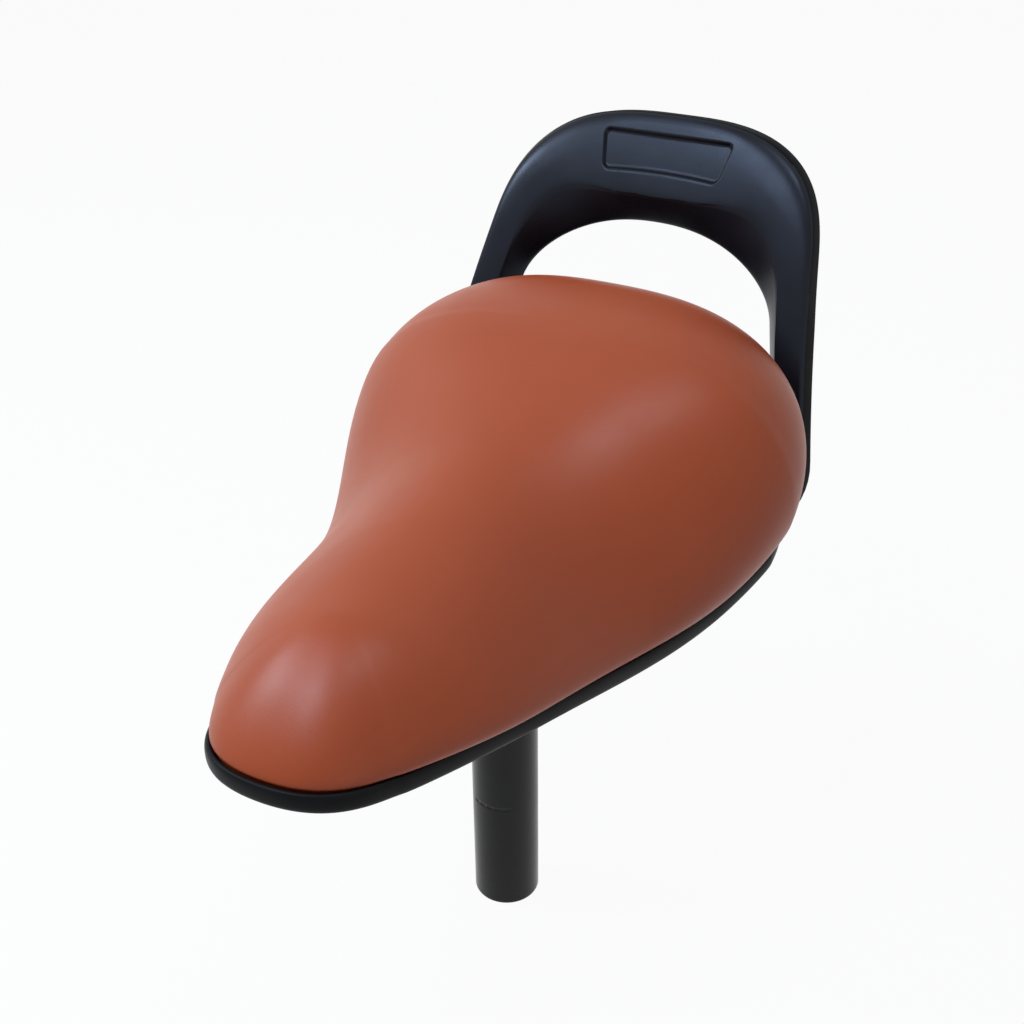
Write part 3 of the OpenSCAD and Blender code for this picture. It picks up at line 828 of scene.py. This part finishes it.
def cushion_ring(v, depth):
    """The same ring at a depth under the face, square to it."""
    if depth == 0:
        return face_ring(v)
    if v == 0:
        return ring(foot_inset + depth, 0, hem_rise + depth)
    here = face_ring(v)
    along = np.roll(here, -1, 0) - np.roll(here, 1, 0)
    away = np.cross(along, face_ring(v + 0.002) - face_ring(v - 0.002))
    return here - depth * away / np.linalg.norm(away, axis=1)[:, None]


def dish_ring(inset, q, lift, gap):
    return ring(inset * mm + gap, q, lift * mm + gap)


def cushion_shell(depth, steps):
    """The rings from the hem up over the crown."""
    return [cushion_ring(v, depth) for v in steps]


crown_steps = np.concatenate([0.2 * np.linspace(0, 1, 16, endpoint=False) ** 1.5, np.linspace(0.2, 0.99, 44)])
outer_rings = [ring(foot_inset, 0, hem_low)] + cushion_shell(0, crown_steps)
inner_rings = cushion_shell(skin_t, crown_steps[::-1]) + [ring(foot_inset + skin_t, 0, hem_low)]
hem_inner = [dish_ring(7, 0.35, 0, soft_gap + skin_t), dish_ring(11, 0.8, 2.1, soft_gap + skin_t)]
hem_outer = [dish_ring(11, 0.8, 2.1, soft_gap), dish_ring(7, 0.35, 0, soft_gap)]
cover_rings = inner_rings + hem_inner + hem_outer + outer_rings
cover = new_piece("cushion_cover", *strip_capped(cover_rings), sharp=60)


def make_leatherette():
    """Tan leatherette: a fine pressed grain, with slow drifts of tone and gloss."""
    material, tree, surface = new_material("tan leatherette", Specular_IOR_Level=0.38)
    two_tone(tree, surface, (0.430, 0.071, 0.0175), (0.405, 0.064, 0.015), 18)
    cells = in_place(tree, "ShaderNodeTexVoronoi", feature="DISTANCE_TO_EDGE", Scale=1500, Randomness=1)
    groove = ramp(tree, cells.outputs["Distance"], 0, 0.25, 0, 1)
    pebble = uneven(tree, surface, 70, 1100, 0.5, (0.37, 0.43))
    height = node(tree, "ShaderNodeMix", data_type="FLOAT", Factor=0.5, A=pebble, B=groove)
    add_bump(tree, surface, height.outputs["Result"], 0.00002)
    return material


leatherette = make_leatherette()
cover.data.materials.append(leatherette)
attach(cover, "root")
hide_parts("cover")


# Foam pad
# Meant as one block of moulded foam that fills the cover, with a pocket for the support board. Open
# fault: the cut for that pocket leaves 6 faces of the whole block, so next to nothing of it is drawn.

pad_depth = skin_t + soft_gap
fold_depth = pad_depth + 0.5 * mm
board_low, board_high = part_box("support_board")
nut_low, nut_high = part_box("tee_nuts")
nut_hollow_r = 10 * mm
nut_hollow_top = board_high.z + 8 * mm
pad_dish = [dish_ring(15, 1, 2.6, fold_depth + soft_gap), dish_ring(11, 0.8, 2.1, fold_depth + soft_gap),
            dish_ring(7, 0.35, 0, fold_depth + soft_gap), ring(foot_inset + fold_depth, 0, hem_low)]
pad_crown = cushion_shell(fold_depth, crown_steps[:8:2]) + cushion_shell(pad_depth, crown_steps[18::2])
foam_block = new_piece("foam_block", *strip_capped(pad_dish + pad_crown), sharp=60)


def board_outline(margin):
    """The board's edge: the rim drawn in, cut off where the floor starts to climb."""
    inner = rim - (board_inset - margin) * outward
    front = board_low.y - margin
    kept = [tuple(p) for p in inner if p[1] > front + 4 * mm]
    right = [p for p in kept if p[0] > 0]
    left = [p for p in kept if p[0] <= 0]
    flank = inner[:len(inner) // 3]
    x = np.interp(front, flank[:, 1], flank[:, 0])
    return right + left + [(-x + 4 * mm, front), (x - 4 * mm, front)]


def cut_out(piece, name, outline, z_low, z_high):
    """Cuts a straight-sided block out of a piece."""
    block = new_piece(name, *capped([[(x, y, z) for x, y in outline] for z in (z_low, z_high)]))
    cut = piece.modifiers.new("cut", "BOOLEAN")
    cut.object = block
    cut.operation = "DIFFERENCE"
    cut.solver = "EXACT"
    shaped = built_mesh(piece)
    piece.modifiers.clear()
    piece.data = shaped
    bpy.data.objects.remove(block)


cut_out(foam_block, "board pocket", board_outline(soft_gap), floor_z, board_high.z + soft_gap)
for x, y in bolt_places:
    cut_out(foam_block, "nut hollow", arc(x, y, nut_hollow_r, 0, 352, 44), board_high.z, nut_hollow_top)


def make_foam():
    """Pale moulded foam with round open pores, painted darker in their sunk middles as shade."""
    material, tree, surface = new_material("moulded foam", Roughness=0.95, Specular_IOR_Level=0.2)
    pores = in_place(tree, "ShaderNodeTexVoronoi", Scale=900, Randomness=1)
    open_pore = ramp(tree, pores.outputs["Distance"], 0.1, 0.5, 0, 1)
    # The darker tone sits where the pores sink: painted shade in the hollows.
    tone = blended(tree, open_pore, (0.50, 0.45, 0.28), (0.80, 0.75, 0.52))
    tree.links.new(tone, surface.inputs["Base Color"])
    add_bump(tree, surface, open_pore, 0.0004)
    return material


foam_block.data.materials.clear()
foam_block.data.materials.append(make_foam())
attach(foam_block, "root")
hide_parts("foam_pad")


# Support board
# Six-millimetre plywood, cut to the pan's shape, that the foam is set on. Its edge shows the plies.

board_edge = 0.5 * mm
barrel_hole_r = 4 * mm
pilot_hole_r = 2.2 * mm
ply_t = 1.2 * mm
board_holes = [(x, y, barrel_hole_r) for x, y in bolt_places]
board_holes += [(x, y, pilot_hole_r) for x, y in pan_screw_places]
board_mesh = flat_plate("board", board_outline(0), board_holes, board_low.z, board_high.z, board_edge)
board = new_piece("plywood_board", *board_mesh, sharp=40)


def make_plywood():
    """Rotary-cut veneer: long wavy grain on the faces, light and dark plies round the edge."""
    material, tree, surface = new_material("plywood", Roughness=0.7, Specular_IOR_Level=0.3)
    stretched = in_place(tree, "ShaderNodeMapping", Scale=(1, 0.12, 1)).outputs["Vector"]
    veneer = {"Vector": stretched, "Scale": 160, "Detail": 6, "Roughness": 0.6, "Distortion": 0.6}
    grain = node(tree, "ShaderNodeTexNoise", **veneer).outputs["Fac"]
    face_tone = blended(tree, ramp(tree, grain, 0.3, 0.7, 0, 1), (0.40, 0.24, 0.11), (0.62, 0.44, 0.25))
    layer = node(tree, "ShaderNodeMath", operation="PINGPONG")
    layer.inputs[1].default_value = ply_t
    tree.links.new(in_place(tree, "ShaderNodeSeparateXYZ").outputs["Z"], layer.inputs[0])
    dark_ply = ramp(tree, layer.outputs[0], 0.5 * mm, 0.7 * mm, 0, 0.6)
    ply_tone = blended(tree, dark_ply, face_tone, (0.22, 0.11, 0.045))
    tree.links.new(ply_tone, surface.inputs["Base Color"])
    add_bump(tree, surface, grain, 0.0001)
    return material


board.data.materials.append(make_plywood())
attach(board, "root")
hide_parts("support_board")


# Plate bolts, washers and tee nuts
# Four M6 hexagon bolts come up through the plate, the pan and the board into tee nuts. Each has a flat
# washer and a split spring washer under its head. All are zinc plated.

bolt_r = 3 * mm
bolt_flats = 10 * mm
bolt_head_h = 4 * mm
bolt_low, bolt_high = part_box("plate_bolts")
flat_low, flat_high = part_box("flat_washers")
spring_low, spring_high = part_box("spring_washers")
thread_pitch = 1 * mm
thread_depth = 0.5 * mm
washer_bore_r = 3.3 * mm
spring_r = 5.2 * mm
flat_r = 6 * mm
washer_edge = 0.2 * mm
tee_flange_r = 9 * mm
tee_barrel_r = 3.9 * mm
tee_bore_r = 3.05 * mm


def hex_reach(turn):
    """How far a hexagon reaches from its middle at an angle, as a multiple of its flats' distance."""
    return 1 / cos((turn + pi / 6) % (pi / 3) - pi / 6)


def threaded(r, z_low, z_high, pitch, turns):
    """The rings of a threaded shank, its ridge one helix."""
    rings = []
    for z in np.arange(z_low, z_high, pitch / 5):
        run = min((z - z_low) / pitch, (z_high - z) / pitch, 1)
        loop = []
        for i in range(turns):
            phase = (z / pitch - i / turns) % 1
            reach = r - thread_depth * run * abs(2 * phase - 1)
            loop.append((reach * cos(2 * pi * i / turns), reach * sin(2 * pi * i / turns), z))
        rings.append(loop)
    return rings


def bolt_shape():
    """A hexagon bolt, head down, its head dished in the middle and bevelled at its corners."""
    low = bolt_low.z
    under = low + bolt_head_h
    half = bolt_flats / 2
    bevel_r = half * 0.94
    dished = low + 0.25 * mm
    hexagon = [(half * hex_reach(2 * pi * i / 48), 2 * pi * i / 48) for i in range(48)]
    head = [level_ring(0.35 * bevel_r, dished), level_ring(0.55 * bevel_r, dished)]
    head += [level_ring(0.62 * bevel_r, low), level_ring(bevel_r, low)]
    head.append([(q * cos(t), q * sin(t), low + (q - bevel_r) * 0.55) for q, t in hexagon])
    head.append([(q * cos(t), q * sin(t), under) for q, t in hexagon])
    shank = [level_ring(bolt_r, under), level_ring(bolt_r, under + 1 * mm)]
    thread = threaded(bolt_r, under + 1 * mm, bolt_high.z - 0.6 * mm, thread_pitch, 48)
    return capped(head + shank + thread + [level_ring(0.78 * bolt_r, bolt_high.z)])


def washer_shape(inner, outer, z_low, z_high, edge, cut=0):
    """A flat ring with rounded edges. With a cut, half its angle, it is a split spring washer."""
    lower = [(inner, z_low + edge), (inner + 0.3 * edge, z_low + 0.3 * edge), (inner + edge, z_low),
             (outer - edge, z_low), (outer - 0.3 * edge, z_low + 0.3 * edge), (outer, z_low + edge)]
    profile = lower + [(r, z_low + z_high - z) for r, z in lower[::-1]]
    whole = cut == 0
    turns = [2 * pi * i / 48 for i in range(48)] if whole else list(np.linspace(cut, 2 * pi - cut, 48))
    loops = [[(r * cos(t), r * sin(t), z) for r, z in profile] for t in turns]
    return loft(loops) if whole else capped(loops)


def make_zinc():
    """Bright zinc plate: a bluish metal with faint cloudy patches and an uneven gloss."""
    material, tree, surface = new_material("zinc plate", Metallic=1.0)
    two_tone(tree, surface, (0.58, 0.59, 0.60), (0.46, 0.47, 0.49), 220)
    add_bump(tree, surface, uneven(tree, surface, 900, 6000, 0.3, (0.24, 0.38)), 0.00003)
    return material


zinc = make_zinc()
twists = (0.2, 1.3, 0.7, 1.9)
spring = washer_shape(washer_bore_r, spring_r, spring_low.z, spring_high.z, washer_edge, cut=0.07)
flat = washer_shape(washer_bore_r, flat_r, flat_low.z, flat_high.z, washer_edge)
bolt_sets = [("hex_bolts", bolt_shape(), 1, "plate_bolts"), ("split_washers", spring, 2, "spring_washers"),
             ("plain_washers", flat, 0, "flat_washers")]
for name, shape, twisted, stands_for in bolt_sets:
    placed = [moved(shape, x, y, twist * twisted) for (x, y), twist in zip(bolt_places, twists)]
    piece = new_piece(name, *stack(placed), sharp=32)
    piece.data.materials.append(zinc)
    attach(piece, "root")
    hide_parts(stands_for)


def tee_nut_shape():
    """A stamped flange with three prongs bent down, and a barrel drawn from its middle."""
    flange = tee_flange_r
    barrel = tee_barrel_r
    under = board_high.z
    low = nut_low.z
    top = nut_high.z
    profile = [(tee_bore_r, low), (barrel - 0.2 * mm, low), (barrel, low + 0.2 * mm),
               (barrel, under - 0.3 * mm), (barrel + 0.3 * mm, under), (flange - 0.3 * mm, under),
               (flange, under + 0.4 * mm), (flange, top - 0.3 * mm), (flange - 0.3 * mm, top),
               (tee_bore_r + 1 * mm, top), (tee_bore_r, top - 0.8 * mm)]
    shapes = [loft([level_ring(r, z) for r, z in profile])]
    for k in range(3):
        c, s = cos(2 * pi * k / 3), sin(2 * pi * k / 3)
        prong = []
        for rise, half in ((0.2, 1), (-2, 0.9), (-4, 0.15)):
            corners = [(6.4, -half), (7.6, -half), (7.6, half), (6.4, half)]
            level = under + rise * mm
            prong.append([((c * x - s * y) * mm, (s * x + c * y) * mm, level) for x, y in corners])
        shapes.append(capped(prong))
    return stack(shapes)


tee_nuts = new_piece("tee_nut_set", *stack([moved(tee_nut_shape(), x, y) for x, y in bolt_places]), sharp=40)
tee_nuts.data.materials.append(zinc)
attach(tee_nuts, "root")
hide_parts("tee_nuts")


# Pan and handle screws
# Black self-tapping screws with domed heads and cross recesses. Six go up through the pan into the
# board, and four, on plain washers, hold the handle's flange to the pan.

screw_r = 2.1 * mm
head_r = 3.99 * mm
head_h = 2.6 * mm
cross_half_w = 0.62 * mm
cross_reach = 2 * mm
cross_depth = 1.6 * mm
screw_pitch = 1.4 * mm
washer_r = 5.5 * mm
pan_screw_low, pan_screw_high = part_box("pan_screws")
handle_screw_low, handle_screw_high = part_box("handle_screws")
washer_low, washer_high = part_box("handle_washers")


def cross_recess(x, y):
    """How deep the driver's cross goes at a point of the head, tapering to its ends."""
    deep = 0
    for along, across in ((abs(x), abs(y)), (abs(y), abs(x))):
        side = min(max((cross_half_w - across) / (0.25 * mm), 0), 1)
        end = min(max((cross_reach - along) / (0.9 * mm), 0), 1)
        deep = max(deep, side * end)
    return cross_depth * deep


def screw_shape(seat, tip):
    """A self-tapping screw, head down, from under its domed head to its point."""
    head = []
    for s in np.linspace(0.02, 1, 22):
        dome = level_ring(head_r * s, seat - head_h * max(1 - s ** 3.2, 0) ** 0.5, 64)
        head.append([(x, y, z + cross_recess(x, y)) for x, y, z in dome])
    neck_end = seat + 0.6 * mm
    neck = [level_ring(screw_r, seat, 64), level_ring(screw_r, neck_end, 64)]
    thread = threaded(screw_r, neck_end, tip - 2.2 * mm, screw_pitch, 64)
    point = [level_ring(q * mm, tip - back * mm, 64) for q, back in ((1.5, 2), (0.9, 0.9), (0.2, 0))]
    return capped(head + neck + thread + point)


screw_black = coated("black oxide", (0.012, 0.012, 0.013), (0.030, 0.029, 0.028), 700, 5000, 0.4,
                     (0.32, 0.45), 0.00003, Metallic=0.6)
pan_screw = screw_shape(pan_screw_low.z + head_h, pan_screw_high.z)
handle_screw = screw_shape(handle_screw_low.z + head_h, handle_screw_high.z)
screw_sets = [("board_screws", pan_screw, pan_screw_places, "pan_screws"),
              ("flange_screws", handle_screw, handle_screw_places, "handle_screws")]
for name, shape, places, stands_for in screw_sets:
    turned = [moved(shape, x, y, 0.9 * i) for i, (x, y) in enumerate(places)]
    piece = new_piece(name, *stack(turned), sharp=40)
    piece.data.materials.append(screw_black)
    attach(piece, "root")
    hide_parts(stands_for)
flange_washer = washer_shape(flange_hole_r, washer_r, washer_low.z, washer_high.z, 0.15 * mm)
flange_washers = [moved(flange_washer, x, y) for x, y in handle_screw_places]
washers = new_piece("flange_washers", *stack(flange_washers), sharp=32)
washers.data.materials.append(zinc)
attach(washers, "root")
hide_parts("handle_washers")


# Floor and backdrop
# A plain white floor. It shows to the camera mostly by its own white, so that the page is white round
# the object and a faint shadow is left, and it throws only its plain share of light back.

own_white = 0.95
floor_size = 6.0
floor_mesh = bpy.data.meshes.new("floor")
h = floor_size / 2
floor_mesh.from_pydata([(-h, -h, 0), (h, -h, 0), (h, h, 0), (-h, h, 0)], [], [(0, 1, 2, 3)])
floor = bpy.data.objects.new("floor", floor_mesh)
floor.location.z = -0.3 * mm
bpy.context.scene.collection.objects.link(floor)
floor_paint, floor_tree, floor_surface = new_material("white floor", Roughness=0.9, Specular_IOR_Level=0.1)
floor_surface.inputs["Base Color"].default_value = (0.8, 0.8, 0.8, 1)


def seen_directly(tree):
    """1 where a ray comes from the camera, from gloss or through glass, and 0 for the light it lends."""
    path = node(tree, "ShaderNodeLightPath")
    seen = path.outputs["Is Camera Ray"]
    for kind in ("Is Glossy Ray", "Is Transmission Ray"):
        either = node(tree, "ShaderNodeMath", operation="MAXIMUM")
        tree.links.new(seen, either.inputs[0])
        tree.links.new(path.outputs[kind], either.inputs[1])
        seen = either.outputs[0]
    return seen


white = node(floor_tree, "ShaderNodeEmission", Color=(1, 1, 1, 1), Strength=1)
white_share = node(floor_tree, "ShaderNodeMath", operation="MULTIPLY")
white_share.inputs[1].default_value = own_white
floor_tree.links.new(seen_directly(floor_tree), white_share.inputs[0])
floor_mix = node(floor_tree, "ShaderNodeMixShader")
floor_tree.links.new(white_share.outputs[0], floor_mix.inputs[0])
floor_tree.links.new(floor_surface.outputs[0], floor_mix.inputs[1])
floor_tree.links.new(white.outputs[0], floor_mix.inputs[2])
floor_tree.links.new(floor_mix.outputs[0], floor_tree.nodes["Material Output"].inputs["Surface"])
floor.data.materials.append(floor_paint)


# Light and camera
# Cool light from panels high on the left and in front, a small one overhead, and a weak warm fill low
# on the right. The world is white where it shows and lends less light than that.

world_light = 0.08
aim = Vector((0, 0, 0.18))
world = bpy.data.worlds.new("studio")
bpy.context.scene.world = world
world.use_nodes = True
world_tree = world.node_tree
air = world_tree.nodes["Background"]
air.inputs["Color"].default_value = (1, 1, 1, 1)
world_strength = ramp(world_tree, seen_directly(world_tree), 0, 1, world_light, 1)
world_tree.links.new(world_strength, air.inputs["Strength"])


def soft_light(name, turn, rise, away, size, strength, tint):
    """A square panel lamp at angles in degrees from +X and the floor. A strength of 1 lights a surface
    that faces it so that it renders in its own colour."""
    lamp = bpy.data.lights.new(name, "AREA")
    lamp.shape = "SQUARE"
    lamp.size = size
    lamp.energy = 4 * pi * away * away * strength
    lamp.color = tint
    level = cos(radians(rise))
    way = Vector((level * cos(radians(turn)), level * sin(radians(turn)), sin(radians(rise))))
    holder = bpy.data.objects.new(name, lamp)
    holder.location = aim + away * way
    holder.rotation_euler = way.to_track_quat("Z", "Y").to_euler()
    bpy.context.scene.collection.objects.link(holder)


soft_light("left panel", -162, 41, 1.1, 0.33, 0.42, (0.72, 0.84, 1.0))
soft_light("front panel", -120, 64, 1.1, 0.4, 0.42, (0.68, 0.81, 1.0))
soft_light("back panel", 8, 75, 1.1, 0.2, 0.12, (0.72, 0.84, 1.0))
soft_light("fill panel", -30, 14, 1.2, 0.9, 0.05, (1.0, 0.90, 0.80))

view_turn = radians(27.79)
view_drop = radians(31.37)
view_roll = radians(-0.745)
view_from = (0.2027, -0.3762, 0.4356)
camera_data = bpy.data.cameras.new("camera")
camera_data.lens = 51.15
camera_data.sensor_width = 36
camera_data.clip_start = 0.01
camera = bpy.data.objects.new("camera", camera_data)
turned = Matrix.Rotation(view_turn, 4, "Z") @ Matrix.Rotation(pi / 2 - view_drop, 4, "X")
camera.matrix_world = Matrix.Translation(view_from) @ turned @ Matrix.Rotation(view_roll, 4, "Z")
bpy.context.scene.collection.objects.link(camera)
bpy.context.scene.camera = camera
bpy.context.scene.view_settings.view_transform = "Standard"
